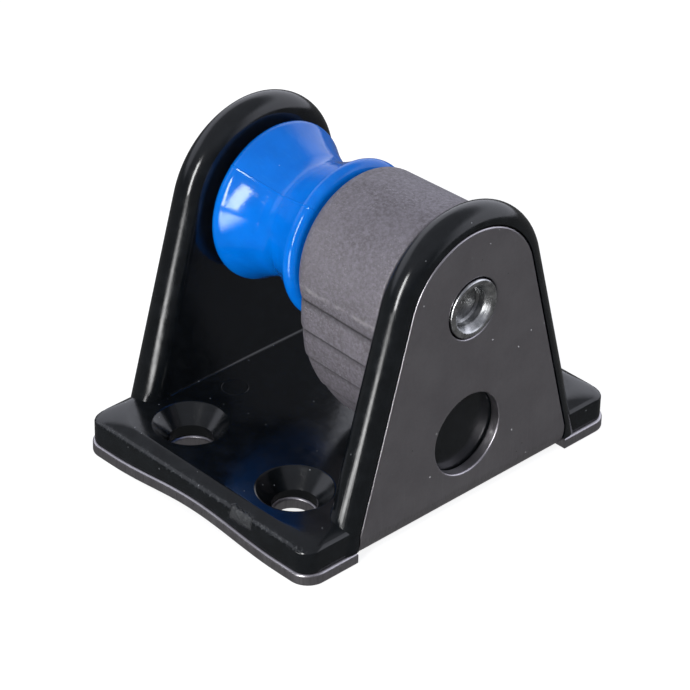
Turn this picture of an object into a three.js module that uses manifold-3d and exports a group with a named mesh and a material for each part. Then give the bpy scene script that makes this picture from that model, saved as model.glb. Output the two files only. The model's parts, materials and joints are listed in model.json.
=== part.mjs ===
// Cam cleat: a bent steel bracket with a moulded liner carries an axle, a guide roller and a sprung cam.
// Millimetres. Origin: centre of the deck face. +X runs along the axle towards the cam, +Z is up, and the
// loaded end of the rope leaves towards -Y.

import * as THREE from 'three';
import { mergeVertices } from 'three/addons/utils/BufferGeometryUtils.js';
import Module from 'manifold-3d';

// Bracket: one bent sheet, a deck plate with two ears
const SHEET = 2;
const EAR_FACE_X = 26;
const BEND_RADIUS = 4;
const EAR_TOP_RADIUS = 13.3;
const EAR_FLANK_ANGLE = THREE.MathUtils.degToRad(15.5);
const EAR_FOOT_HALF_WIDTH = 22.5;
const PLATE_HALF_X = 25.9;
const PLATE_HALF_Y = 33.7;
const PLATE_CORNER = 3.5;
const ARCH_RISE = 1.4;
const ARCH_HALF_SPAN = 19;
const RELIEF_WIDTH = 0.4;
const SIDE_HOLE_RADIUS = 7;
const SIDE_HOLE_Z = 13.5;
const SCREW_X = 12;
const SCREW_Y = 23.2;
const SCREW_CLEARANCE_RADIUS = 3.3;

// Axle
const AXLE_Z = 36.2;
const AXLE_RADIUS = 4.9;
const AXLE_HALF_LENGTH = 26.3;
const AXLE_HOLE_RADIUS = 5.15;
const AXLE_CUP_RADIUS = 4.05;
const AXLE_CUP_DEPTH = 1.1;
const AXLE_DRILL_RADIUS = 3.2;
const AXLE_DRILL_DEPTH = 2.6;
const AXLE_EDGE = 0.35;
const AXLE_CUP_EDGE = 0.25;

// Liner: base pad, two cheeks and their rolled rims
const PAD_HALF_X = 25.65;
const PAD_HALF_Y = 33.55;
const PAD_TOP_Z = 7;
const PAD_CREST_Z = 5.9;
const PAD_ROLL_OFF = 2.5;
const PAD_CORNER = 2.6;
const PAD_FLAT_CORNER = 7;
const PAD_ROLL_OFF_POWER = 1.6;
const CHEEK_INNER_X = 20.1;
const RIM_RADIUS = 2.9;
const RIM_X = 23;
const RIM_OFFSET = 0.2;
const COUNTERSINK_RADIUS = 6.15;
const COUNTERSINK_DEPTH = 2.9;
const LINER_BORE_RADIUS = 3.65;

// Guide roller
const ROLLER_X = -9.35;
const ROLLER_RADIUS = 13.4;
const ROLLER_WAIST_RADIUS = 10;
const ROLLER_WAIST_ARC = 4;
const ROLLER_LIP_RADIUS = 1.4;
const ROLLER_LIP_X = 8;
const ROLLER_BOSS_RADIUS = 8;
const ROLLER_BOSS_LENGTH = 1.2;
const RUNNING_BORE_RADIUS = 5;

// Cam
const CAM_LEFT_X = 0.7;
const CAM_RIGHT_X = 19.8;
const CAM_HUB_RADIUS = 13.6;
const CAM_FLARE = 0.45;
const CAM_RIGHT_EDGE = 0.5;
const CAM_HUB_ROUNDING = 2.4;
const LEAD_IN_ROUNDING = 5.5;
const LEAD_IN_TOP_Z = 22;
const LEAD_IN_BOTTOM_Z = 11;
const CAM_FRONT_Y = -13.2;
const CAM_NOSE_Y = 3.2;
const CAM_NOSE_Z = 7.6;
const CAM_NOSE_REACH = 11;
const CAM_HEEL_RADIUS = 2.2;
const CAM_HEEL_END = THREE.MathUtils.degToRad(9);
const CAM_BACK_ANGLE = THREE.MathUtils.degToRad(-23);
const TOOTH_PITCH = 5.55;
const TOOTH_STEP = 0.4;
const TOOTH_UNDERCUT = 0.06;
const FIRST_TOOTH_Z = 32.5;

// Cam spring: a torsion spring in a pocket of the cam, with one leg in the cheek
const WIRE_RADIUS = 0.6;
const COIL_RADIUS = 7;
const COIL_PITCH = 1.35;
const COIL_START_X = 15;
const COIL_START = THREE.MathUtils.degToRad(100);
const COIL_SWEEP = THREE.MathUtils.degToRad(3 * 360 + 80);
const LEG_BEND = 1.3;
const LEG_LENGTH = 2.6;
const POCKET_RADIUS = 8.4;
const POCKET_DEPTH = 5.6;
const LEG_ROOM = 0.95;
const LEG_SLOT_END_ROOM = 0.4;
const LEG_SLOT_MARGIN = THREE.MathUtils.degToRad(11);
const LEG_LEAN = 0.8;
const CAM_TRAVEL = THREE.MathUtils.degToRad(70);

// Clearances
const LINER_GAP = 0.1;
const RIM_GAP = 0.3;

const wasm = await Module();
wasm.setup();

// A closed three.js geometry as a solid for joining and cutting.
function solid(geometry) {
  const bare = new THREE.BufferGeometry();
  bare.setAttribute('position', geometry.getAttribute('position').clone());
  if (geometry.index) bare.setIndex(geometry.index.clone());
  const merged = mergeVertices(bare, 1e-4);
  const mesh = new wasm.Mesh({
    numProp: 3,
    vertProperties: merged.getAttribute('position').array,
    triVerts: withoutSlivers(merged.index.array),
  });
  return new wasm.Manifold(mesh);
}

// A turned shape that touches its axis has triangles there with two corners at one point.
function withoutSlivers(index) {
  const kept = [];
  for (let i = 0; i < index.length; i += 3) {
    const [a, b, c] = index.slice(i, i + 3);
    if (a !== b && b !== c && c !== a) kept.push(a, b, c);
  }
  return new Uint32Array(kept);
}

function geometryOf(body) {
  const mesh = body.getMesh();
  const geometry = new THREE.BufferGeometry();
  geometry.setAttribute('position', new THREE.BufferAttribute(mesh.vertProperties, 3));
  geometry.setIndex(new THREE.BufferAttribute(mesh.triVerts, 1));
  geometry.computeVertexNormals();
  return geometry;
}

const join = (bodies) => bodies.reduce((total, body) => total.add(body));
const cutAll = (body, cutters) => cutters.reduce((rest, cutter) => rest.subtract(cutter), body);

const X_AXIS = new THREE.Vector3(1, 0, 0);
const Y_AXIS = new THREE.Vector3(0, 1, 0);
const Z_AXIS = new THREE.Vector3(0, 0, 1);

function extrude(points, depth) {
  return new THREE.ExtrudeGeometry(new THREE.Shape(points), { depth, bevelEnabled: false });
}

// Outline in Y and Z, extruded along X.
function prismX(points, from, to) {
  const geometry = extrude(points, to - from);
  geometry.applyMatrix4(new THREE.Matrix4().makeBasis(Y_AXIS, Z_AXIS, X_AXIS));
  return solid(geometry.translate(from, 0, 0));
}

// Outline in X and Z, extruded along Y.
function prismY(points, from, to) {
  const geometry = extrude(points, to - from);
  geometry.applyMatrix4(new THREE.Matrix4().makeBasis(X_AXIS, Z_AXIS, Y_AXIS.clone().negate()));
  return solid(geometry.translate(0, to, 0));
}

// Outline in X and Y, extruded along Z.
function prismZ(points, from, to) {
  return solid(extrude(points, to - from).translate(0, 0, from));
}

function box(x0, x1, y0, y1, z0, z1) {
  const geometry = new THREE.BoxGeometry(x1 - x0, y1 - y0, z1 - z0);
  return solid(geometry.translate((x0 + x1) / 2, (y0 + y1) / 2, (z0 + z1) / 2));
}

// Cylinder along X, centred on (y, z).
function rodX(radius, from, to, y, z, segments = 40) {
  const geometry = new THREE.CylinderGeometry(radius, radius, to - from, segments);
  return solid(geometry.rotateZ(-Math.PI / 2).translate((from + to) / 2, y, z));
}

// Cone or cylinder standing on Z.
function coneZ(bottomRadius, topRadius, from, to, x, y, segments = 36) {
  const geometry = new THREE.CylinderGeometry(topRadius, bottomRadius, to - from, segments);
  return solid(geometry.rotateX(Math.PI / 2).translate(x, y, (from + to) / 2));
}

function arc(cx, cy, radius, start, end, segments) {
  return Array.from({ length: segments + 1 }, (_, i) => {
    const angle = start + ((end - start) * i) / segments;
    return new THREE.Vector2(cx + radius * Math.cos(angle), cy + radius * Math.sin(angle));
  });
}

function roundedRectangle(halfX, halfY, corner, segments = 6) {
  const quarter = Math.PI / 2;
  const centres = [[1, 1], [-1, 1], [-1, -1], [1, -1]];
  return centres.flatMap(([sx, sy], i) =>
    arc(sx * (halfX - corner), sy * (halfY - corner), corner, i * quarter, (i + 1) * quarter, segments));
}

// Closed skin through rings of equal point counts, with a fan to each end ring's centre.
function loft(rings) {
  const count = rings[0].length;
  const positions = rings.flat().flatMap((point) => point.toArray());
  const index = [];
  for (let ring = 0; ring < rings.length - 1; ring += 1) {
    for (let i = 0; i < count; i += 1) {
      const a = ring * count + i;
      const b = ring * count + ((i + 1) % count);
      index.push(a, b, b + count, a, b + count, a + count);
    }
  }
  [rings[0], rings.at(-1)].forEach((ring, side) => {
    const first = side === 0 ? 0 : (rings.length - 1) * count;
    const centre = ring.reduce((sum, point) => sum.add(point), new THREE.Vector3()).divideScalar(count);
    positions.push(...centre.toArray());
    const hub = positions.length / 3 - 1;
    for (let i = 0; i < count; i += 1) {
      const a = first + i;
      const b = first + ((i + 1) % count);
      index.push(...(side === 0 ? [hub, b, a] : [hub, a, b]));
    }
  });
  const geometry = new THREE.BufferGeometry();
  geometry.setAttribute('position', new THREE.Float32BufferAttribute(positions, 3));
  return solid(geometry.setIndex(index));
}

// A closed profile of (radius, x) points turned about the axle line.
function turned(profile, segments) {
  const geometry = new THREE.LatheGeometry(profile, segments);
  return solid(geometry.rotateZ(-Math.PI / 2).translate(0, 0, AXLE_Z));
}

// Height of the arched underside above the deck at x.
function archHeight(x) {
  const reach = Math.min(Math.abs(x) / ARCH_HALF_SPAN, 1);
  return (ARCH_RISE * (1 + Math.cos(Math.PI * reach))) / 2;
}

function archLine(halfSpan, lift, segments = 16) {
  return Array.from({ length: segments + 1 }, (_, i) => {
    const x = -halfSpan + (2 * halfSpan * i) / segments;
    return new THREE.Vector2(x, archHeight(x) + lift);
  });
}

// Ear outline in Y and Z, grown outwards by offset, with its foot at footZ.
function earOutline(offset, footZ, footHalfWidth = Infinity, segments = 20) {
  const radius = EAR_TOP_RADIUS + offset;
  const slope = Math.tan(EAR_FLANK_ANGLE);
  const crown = arc(0, AXLE_Z, radius, EAR_FLANK_ANGLE, Math.PI - EAR_FLANK_ANGLE, segments);
  const shoulder = crown[0];
  const flankAt = (z) => shoulder.x + (shoulder.y - z) * slope;
  const points = [...crown];
  if (flankAt(footZ) > footHalfWidth) {
    const cornerZ = shoulder.y - (footHalfWidth - shoulder.x) / slope;
    points.push(new THREE.Vector2(-footHalfWidth, cornerZ), new THREE.Vector2(-footHalfWidth, footZ));
    points.push(new THREE.Vector2(footHalfWidth, footZ), new THREE.Vector2(footHalfWidth, cornerZ));
  } else {
    points.push(new THREE.Vector2(-flankAt(footZ), footZ), new THREE.Vector2(flankAt(footZ), footZ));
  }
  return points;
}

function screwPlaces() {
  return [-1, 1].flatMap((sx) => [-1, 1].map((sy) => [sx * SCREW_X, sy * SCREW_Y]));
}

// U section of the bracket: arched floor, two bends and two upright ears.
function channelSection() {
  const top = AXLE_Z + EAR_TOP_RADIUS + 1;
  const inner = BEND_RADIUS - SHEET;
  const bendX = EAR_FACE_X - BEND_RADIUS;
  const quarter = Math.PI / 2;
  return [
    new THREE.Vector2(-EAR_FACE_X, top),
    ...arc(-bendX, BEND_RADIUS, BEND_RADIUS, 2 * quarter, 3 * quarter, 8),
    ...archLine(ARCH_HALF_SPAN, 0),
    ...arc(bendX, BEND_RADIUS, BEND_RADIUS, -quarter, 0, 8),
    new THREE.Vector2(EAR_FACE_X, top),
    new THREE.Vector2(EAR_FACE_X - SHEET, top),
    ...arc(bendX, BEND_RADIUS, inner, 0, -quarter, 6),
    ...archLine(ARCH_HALF_SPAN, SHEET).reverse(),
    ...arc(-bendX, BEND_RADIUS, inner, 3 * quarter, 2 * quarter, 6),
    new THREE.Vector2(-EAR_FACE_X + SHEET, top),
  ];
}

function deckPlate() {
  const reach = PLATE_HALF_X + 1;
  const section = [
    new THREE.Vector2(-reach, 0),
    ...archLine(ARCH_HALF_SPAN, 0),
    new THREE.Vector2(reach, 0),
    new THREE.Vector2(reach, SHEET),
    ...archLine(ARCH_HALF_SPAN, SHEET).reverse(),
    new THREE.Vector2(-reach, SHEET),
  ];
  const outline = roundedRectangle(PLATE_HALF_X, PLATE_HALF_Y, PLATE_CORNER);
  const plate = prismY(section, -PLATE_HALF_Y, PLATE_HALF_Y).intersect(prismZ(outline, -1, 5));
  const relief = EAR_FOOT_HALF_WIDTH + RELIEF_WIDTH;
  const bendX = EAR_FACE_X - BEND_RADIUS;
  const notches = [-1, 1].map((side) => {
    const reachX = [side * bendX, side * (EAR_FACE_X + 1)].sort((a, b) => a - b);
    return box(...reachX, -relief, relief, -1, 4);
  });
  return cutAll(plate, notches);
}

function steelBracket() {
  const channel = prismY(channelSection(), -EAR_FOOT_HALF_WIDTH - 1, EAR_FOOT_HALF_WIDTH + 1);
  const outline = earOutline(0, -1, EAR_FOOT_HALF_WIDTH);
  const ears = channel.intersect(prismX(outline, -EAR_FACE_X - 1, EAR_FACE_X + 1));
  const through = EAR_FACE_X + 2;
  const holes = [
    rodX(SIDE_HOLE_RADIUS, -through, through, 0, SIDE_HOLE_Z, 48),
    rodX(AXLE_HOLE_RADIUS, -through, through, 0, AXLE_Z, 40),
    ...screwPlaces().map(([x, y]) => coneZ(SCREW_CLEARANCE_RADIUS, SCREW_CLEARANCE_RADIUS, -1, 5, x, y)),
  ];
  return cutAll(ears.add(deckPlate()), holes);
}

// Base pad: upright sides, then a shallow roll-off up to the flat top.
function pad() {
  const steps = 4;
  const ringAt = (inset, corner, z) => roundedRectangle(PAD_HALF_X - inset, PAD_HALF_Y - inset, corner)
    .map((point) => new THREE.Vector3(point.x, point.y, z));
  const rings = [ringAt(0, PAD_CORNER, 0)];
  for (let i = 0; i <= steps; i += 1) {
    const t = i / steps;
    const corner = THREE.MathUtils.lerp(PAD_CORNER, PAD_FLAT_CORNER, t);
    const rise = 1 - (1 - t) ** PAD_ROLL_OFF_POWER;
    rings.push(ringAt(PAD_ROLL_OFF * t, corner, THREE.MathUtils.lerp(PAD_CREST_Z, PAD_TOP_Z, rise)));
  }
  return loft(rings);
}

// Rolled rim: a round bead that follows the ear's edge down past the deck plate's top.
function rim(x) {
  const outline = earOutline(RIM_OFFSET, 0);
  const spine = [outline.at(-1), ...outline.slice(0, -1)];
  return beadAlong(spine.map((point) => new THREE.Vector3(x, point.x, point.y)), RIM_RADIUS, 20);
}

// Round bead through points that lie in a plane of constant x.
function beadAlong(spine, radius, segments) {
  const rings = spine.map((point, i) => {
    const before = spine[Math.max(i - 1, 0)];
    const after = spine[Math.min(i + 1, spine.length - 1)];
    const tangent = after.clone().sub(before).normalize();
    const outward = new THREE.Vector3(0, tangent.z, -tangent.y);
    return Array.from({ length: segments }, (_, k) => {
      const angle = (2 * Math.PI * k) / segments;
      return point.clone()
        .addScaledVector(outward, radius * Math.cos(angle))
        .addScaledVector(X_AXIS, -radius * Math.sin(angle));
    });
  });
  return loft(rings);
}

// Everything the bracket needs kept clear inside the liner.
function bracketSpace() {
  const wallX = EAR_FACE_X - SHEET - LINER_GAP;
  const bendX = EAR_FACE_X - BEND_RADIUS;
  const inner = BEND_RADIUS - SHEET - LINER_GAP;
  const far = EAR_FACE_X + 4;
  const quarter = Math.PI / 2;
  const underBends = [
    new THREE.Vector2(-far, -3),
    new THREE.Vector2(far, -3),
    new THREE.Vector2(far, BEND_RADIUS),
    ...arc(bendX, BEND_RADIUS, inner, 0, -quarter, 6),
    ...archLine(ARCH_HALF_SPAN, SHEET + LINER_GAP).reverse(),
    ...arc(-bendX, BEND_RADIUS, inner, 3 * quarter, 2 * quarter, 6),
    new THREE.Vector2(-far, BEND_RADIUS),
  ];
  const underPlate = [
    new THREE.Vector2(-far, -3),
    new THREE.Vector2(far, -3),
    new THREE.Vector2(far, SHEET + LINER_GAP),
    ...archLine(ARCH_HALF_SPAN, SHEET + LINER_GAP).reverse(),
    new THREE.Vector2(-far, SHEET + LINER_GAP),
  ];
  const ear = earOutline(RIM_GAP, -1, EAR_FOOT_HALF_WIDTH + RIM_GAP);
  return [
    prismY(underBends, -EAR_FOOT_HALF_WIDTH - RIM_GAP, EAR_FOOT_HALF_WIDTH + RIM_GAP),
    prismY(underPlate, -PLATE_HALF_Y - 1, PLATE_HALF_Y + 1),
    prismX(ear, wallX, far),
    prismX(ear, -far, -wallX),
  ];
}

function countersink([x, y]) {
  const seatZ = PAD_TOP_Z - COUNTERSINK_DEPTH;
  const slope = (COUNTERSINK_RADIUS - LINER_BORE_RADIUS) / COUNTERSINK_DEPTH;
  const above = 1;
  const cone = coneZ(LINER_BORE_RADIUS, COUNTERSINK_RADIUS + slope * above, seatZ, PAD_TOP_Z + above, x, y);
  return cone.add(coneZ(LINER_BORE_RADIUS, LINER_BORE_RADIUS, -1, seatZ + 0.01, x, y));
}

function liner() {
  const cheekOutline = earOutline(RIM_OFFSET, SHEET);
  const cheeks = [-1, 1].map((side) => {
    const reach = [side * CHEEK_INNER_X, side * (EAR_FACE_X - 1)].sort((a, b) => a - b);
    return prismX(cheekOutline, ...reach);
  });
  const body = join([pad(), ...cheeks, rim(RIM_X), rim(-RIM_X)]);
  const through = EAR_FACE_X + 2;
  const socket = springLegs().fixed;
  return cutAll(body, [
    ...bracketSpace(),
    ...screwPlaces().map(countersink),
    rodX(AXLE_HOLE_RADIUS, -through, through, 0, AXLE_Z),
    rodX(LEG_ROOM, CHEEK_INNER_X - 1, EAR_FACE_X, socket.y, socket.z, 16),
  ]);
}

// Axle: a turned pin whose ends are cupped and rolled over in the ears.
function axle() {
  const end = AXLE_HALF_LENGTH;
  const halfProfile = [
    new THREE.Vector2(0, end - AXLE_DRILL_DEPTH),
    new THREE.Vector2(AXLE_DRILL_RADIUS, end - AXLE_DRILL_DEPTH),
    new THREE.Vector2(AXLE_DRILL_RADIUS, end - AXLE_CUP_DEPTH),
    new THREE.Vector2(AXLE_CUP_RADIUS - AXLE_CUP_EDGE, end - AXLE_CUP_EDGE),
    new THREE.Vector2(AXLE_CUP_RADIUS, end),
    new THREE.Vector2(AXLE_RADIUS - AXLE_EDGE, end),
    ...arc(AXLE_RADIUS - AXLE_EDGE, end - AXLE_EDGE, AXLE_EDGE, Math.PI / 2, 0, 3).slice(1),
  ];
  const mirrored = halfProfile.map((point) => new THREE.Vector2(point.x, -point.y));
  return turned([...mirrored, ...halfProfile.reverse()], 40);
}

// Half of the roller's groove, from the middle of the waist out to the far side of the lip.
function grooveProfile() {
  const waistY = ROLLER_WAIST_RADIUS + ROLLER_WAIST_ARC;
  const lipY = ROLLER_RADIUS - ROLLER_LIP_RADIUS;
  const drop = waistY - lipY;
  const span = Math.hypot(ROLLER_LIP_X, drop);
  const lean = Math.asin((ROLLER_WAIST_ARC + ROLLER_LIP_RADIUS) / span) - Math.atan2(drop, ROLLER_LIP_X);
  const down = -Math.PI / 2;
  return [
    ...arc(0, waistY, ROLLER_WAIST_ARC, down, down + lean, 3),
    ...arc(ROLLER_LIP_X, lipY, ROLLER_LIP_RADIUS, Math.PI / 2 + lean, 0, 6),
  ];
}

function guideRoller() {
  const half = grooveProfile();
  const outer = [
    ...half.map((point) => new THREE.Vector2(point.y, ROLLER_X - point.x)).reverse(),
    ...half.slice(1).map((point) => new THREE.Vector2(point.y, ROLLER_X + point.x)),
  ];
  const left = ROLLER_X - ROLLER_LIP_X - ROLLER_LIP_RADIUS;
  const right = ROLLER_X + ROLLER_LIP_X + ROLLER_LIP_RADIUS;
  const profile = [
    new THREE.Vector2(RUNNING_BORE_RADIUS, left - ROLLER_BOSS_LENGTH),
    new THREE.Vector2(ROLLER_BOSS_RADIUS, left - ROLLER_BOSS_LENGTH),
    new THREE.Vector2(ROLLER_BOSS_RADIUS, left),
    ...outer,
    new THREE.Vector2(RUNNING_BORE_RADIUS, right),
    new THREE.Vector2(RUNNING_BORE_RADIUS, left - ROLLER_BOSS_LENGTH),
  ];
  return turned(profile, 40);
}

// The gripping face as seen along the axle: upright at the front, then curling under to the nose.
function gripCurve() {
  const front = new THREE.Vector2(CAM_FRONT_Y, FIRST_TOOTH_Z);
  const nose = new THREE.Vector2(CAM_NOSE_Y, CAM_NOSE_Z);
  const drop = 0.55 * (front.y - nose.y);
  return new THREE.CubicBezierCurve(
    front,
    new THREE.Vector2(front.x, front.y - drop),
    new THREE.Vector2(nose.x - CAM_NOSE_REACH, nose.y),
    nose,
  );
}

// One tooth of the gripping face: it starts below the surface and rises to a proud lower edge.
function toothOutline(curve, from, to) {
  const steps = 4;
  return Array.from({ length: steps + 1 }, (_, i) => {
    const along = THREE.MathUtils.lerp(from, to, i / steps);
    const point = curve.getPointAt(along);
    const tangent = curve.getTangentAt(along);
    const inward = new THREE.Vector2(-tangent.y, tangent.x);
    point.addScaledVector(inward, TOOTH_STEP * (1 - i / steps));
    return i === 0 ? point.addScaledVector(tangent, TOOTH_UNDERCUT) : point;
  });
}

// Outline of the cam in Y and Z, anticlockwise from the first tooth.
function camOutline() {
  const curve = gripCurve();
  const length = curve.getLength();
  const teeth = Math.round(length / TOOTH_PITCH);
  const grip = Array.from({ length: teeth }, (_, tooth) => {
    const from = (tooth * TOOTH_PITCH) / length;
    return toothOutline(curve, from, Math.min(from + TOOTH_PITCH / length, 1));
  }).flat();
  const heelZ = CAM_NOSE_Z + CAM_HEEL_RADIUS;
  const heel = arc(CAM_NOSE_Y, heelZ, CAM_HEEL_RADIUS, -Math.PI / 2, CAM_HEEL_END, 4).slice(1);
  const front = Math.PI + Math.atan2(AXLE_Z - FIRST_TOOTH_Z, -CAM_FRONT_Y);
  const hub = arc(0, AXLE_Z, CAM_HUB_RADIUS, CAM_BACK_ANGLE, front, 28).slice(0, -1);
  return [...grip, ...heel, ...hub];
}

// Rounding of the cam's left edge: small on the hub, a generous lead-in for the rope near the nose.
function edgeRounding(z) {
  const high = THREE.MathUtils.smoothstep(z, LEAD_IN_BOTTOM_Z, LEAD_IN_TOP_Z);
  return THREE.MathUtils.lerp(LEAD_IN_ROUNDING, CAM_HUB_ROUNDING, high);
}

// One section of the cam: the outline pulled in at the rounded left edge and spread by the flare.
function camRing(outline, along) {
  const length = CAM_RIGHT_X - CAM_LEFT_X;
  const growth = along === length ? CAM_FLARE - CAM_RIGHT_EDGE : (CAM_FLARE * along) / length;
  return outline.map((point) => {
    const arm = new THREE.Vector2(point.x, point.y - AXLE_Z);
    const radius = edgeRounding(point.y);
    const short = Math.max(radius - along, 0);
    const inset = radius - Math.sqrt(radius ** 2 - short ** 2);
    arm.setLength(arm.length() - inset + growth);
    return new THREE.Vector3(CAM_LEFT_X + along, arm.x, AXLE_Z + arm.y);
  });
}

function cam() {
  const outline = camOutline();
  const length = CAM_RIGHT_X - CAM_LEFT_X;
  const rounded = [0, 0.04, 0.12, 0.25, 0.44, 0.7, 1].map((share) => share * LEAD_IN_ROUNDING);
  const stations = [...rounded, length - CAM_RIGHT_EDGE, length];
  return cutAll(loft(stations.map((along) => camRing(outline, along))), [
    rodX(RUNNING_BORE_RADIUS, CAM_LEFT_X - 1, CAM_RIGHT_X + 1, 0, AXLE_Z, 40),
    rodX(POCKET_RADIUS, CAM_RIGHT_X - POCKET_DEPTH, CAM_RIGHT_X + 1, 0, AXLE_Z, 40),
    legSlot(),
  ]);
}

// Point on the spring's coil, at an angle about the axle from +Y towards +Z.
function coilPoint(angle) {
  const x = COIL_START_X + (COIL_PITCH * (angle - COIL_START)) / (2 * Math.PI);
  return new THREE.Vector3(x, COIL_RADIUS * Math.cos(angle), AXLE_Z + COIL_RADIUS * Math.sin(angle));
}

// Where the two legs leave the coil: each runs on along the tangent while it turns to lie along X.
function springLegs() {
  const last = COIL_START + COIL_SWEEP;
  const moving = coilPoint(COIL_START).add(
    new THREE.Vector3(0, Math.sin(COIL_START), -Math.cos(COIL_START)).multiplyScalar(LEG_BEND));
  const fixed = coilPoint(last).add(
    new THREE.Vector3(0, -Math.sin(last), Math.cos(last)).multiplyScalar(LEG_BEND));
  return { moving, fixed };
}

// Curved slot in the pocket floor that lets the cam swing past the leg of the undeformed spring.
function legSlot() {
  const leg = springLegs().moving;
  const radius = Math.hypot(leg.y, leg.z - AXLE_Z);
  const at = Math.atan2(leg.z - AXLE_Z, leg.y);
  const start = at - CAM_TRAVEL - LEG_SLOT_MARGIN;
  const end = at + LEG_SLOT_MARGIN;
  const outer = arc(0, AXLE_Z, radius + LEG_ROOM, start, end, 16);
  const inner = arc(0, AXLE_Z, radius - LEG_ROOM, end, start, 16);
  const floor = CAM_RIGHT_X - POCKET_DEPTH;
  return prismX([...outer, ...inner], leg.x - LEG_LENGTH - LEG_SLOT_END_ROOM, floor + LEG_SLOT_END_ROOM);
}

function camSpring() {
  const turns = 52;
  const coil = Array.from({ length: turns + 1 }, (_, i) => coilPoint(COIL_START + (COIL_SWEEP * i) / turns));
  const { moving, fixed } = springLegs();
  const lean = new THREE.Vector3(LEG_LEAN, 0, 0);
  const path = new THREE.CatmullRomCurve3([
    moving.clone().addScaledVector(X_AXIS, -LEG_LENGTH),
    moving.clone().sub(lean),
    ...coil,
    fixed.clone().add(lean),
    fixed.clone().addScaledVector(X_AXIS, LEG_LENGTH),
  ]);
  const wire = new THREE.Shape(arc(0, 0, WIRE_RADIUS, 0, 2 * Math.PI, 8).slice(0, -1));
  return solid(new THREE.ExtrudeGeometry(wire, { steps: 84, extrudePath: path, bevelEnabled: false }));
}

function material(name, color, roughness, metalness) {
  const made = new THREE.MeshStandardMaterial({ color, roughness, metalness });
  made.name = name;
  return made;
}

const satinSteel = material('satin_steel', 0x77777a, 0.42, 1);
const axleSteel = material('axle_steel', 0x9a9a9c, 0.3, 1);
const glossBlack = material('gloss_black', 0x0b0b0d, 0.18, 0);
const blueMoulding = material('blue_moulding', 0x0565e6, 0.32, 0);
const camCasting = material('cam_casting', 0x756d6b, 0.7, 0.1);
const springSteel = material('spring_steel', 0x8c8c90, 0.35, 1);

function piece(name, body, look) {
  const mesh = new THREE.Mesh(geometryOf(body), look);
  mesh.name = name;
  return mesh;
}

const cleat = new THREE.Group();
cleat.add(
  piece('steel_bracket', steelBracket(), satinSteel),
  piece('liner', liner(), glossBlack),
  piece('axle', axle(), axleSteel),
  piece('guide_roller', guideRoller(), blueMoulding),
  piece('cam', cam(), camCasting),
  piece('cam_spring', camSpring(), springSteel),
);

export default cleat;
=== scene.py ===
"""Cam cleat: fine surfaces, procedural finishes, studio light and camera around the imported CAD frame."""

import json
import math

import bpy
import numpy as np
from mathutils import Matrix, Vector
from mathutils.geometry import delaunay_2d_cdt


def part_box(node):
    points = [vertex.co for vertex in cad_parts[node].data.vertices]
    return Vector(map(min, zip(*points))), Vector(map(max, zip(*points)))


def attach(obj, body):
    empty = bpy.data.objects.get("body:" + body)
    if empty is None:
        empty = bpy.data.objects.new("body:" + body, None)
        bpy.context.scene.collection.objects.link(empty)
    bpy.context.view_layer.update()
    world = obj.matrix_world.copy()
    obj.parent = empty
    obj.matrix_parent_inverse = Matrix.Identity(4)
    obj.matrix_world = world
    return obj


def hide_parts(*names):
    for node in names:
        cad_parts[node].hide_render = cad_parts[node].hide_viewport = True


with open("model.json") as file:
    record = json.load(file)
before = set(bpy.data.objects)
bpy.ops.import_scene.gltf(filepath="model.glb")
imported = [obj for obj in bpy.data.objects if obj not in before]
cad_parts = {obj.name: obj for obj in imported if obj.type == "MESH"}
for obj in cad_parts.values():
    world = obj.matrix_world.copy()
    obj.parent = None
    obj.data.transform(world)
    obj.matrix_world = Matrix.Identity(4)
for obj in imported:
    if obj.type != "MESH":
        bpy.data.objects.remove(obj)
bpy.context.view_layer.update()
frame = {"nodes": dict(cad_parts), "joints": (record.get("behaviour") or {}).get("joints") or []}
MM = 0.001


def extent(node):
    """Lowest and highest corner of a CAD node in millimetres."""
    low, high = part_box(node)
    return low / MM, high / MM


def joint_place(name):
    """Where a joint's axis runs, in millimetres."""
    joint = next(j for j in frame["joints"] if j["name"] == name)
    return Vector(joint["pos_m"]) / MM


_, BRACKET_HIGH = extent("steel_bracket")
_, LINER_HIGH = extent("liner")
_, AXLE_HIGH = extent("axle")
ROLLER_LOW, ROLLER_HIGH = extent("guide_roller")
CAM_LOW, CAM_HIGH = extent("cam")
SPRING_LOW, _ = extent("cam_spring")
AXLE_Z = joint_place("cam_swing").z
ROLLER_X = joint_place("roller_spin").x

# Bracket sheet, in millimetres like all sizes below
SHEET = 2.0
EAR_FACE_X = BRACKET_HIGH.x
PLATE_HALF_Y = BRACKET_HIGH.y
PLATE_HALF_X = 25.9
PLATE_CORNER = 3.5
BEND_RADIUS = 4.0
EAR_TOP_RADIUS = BRACKET_HIGH.z - AXLE_Z
EAR_FLANK_ANGLE = math.radians(15.5)
EAR_FOOT_HALF_WIDTH = 22.5
RELIEF_WIDTH = 0.4
ARCH_RISE = 1.4
ARCH_HALF_SPAN = 19.0
SIDE_HOLE_RADIUS = 7.0
SIDE_HOLE_Z = 13.5
SCREW_X = 12.0
SCREW_Y = 23.2
SCREW_CLEARANCE_RADIUS = 3.3
AXLE_HOLE_RADIUS = 5.15
ROLLED_EDGE = 0.42
DEBURRED_EDGE = 0.28
EDGE_MARGIN = 0.2
OUTLINE_STEP = 0.9
BEND_STEP = 0.45
PLATE_STEP = 1.0
EAR_STEP = 2.0
ROW_STEP = 2.2
GRID_CLEARANCE = 0.7

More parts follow.
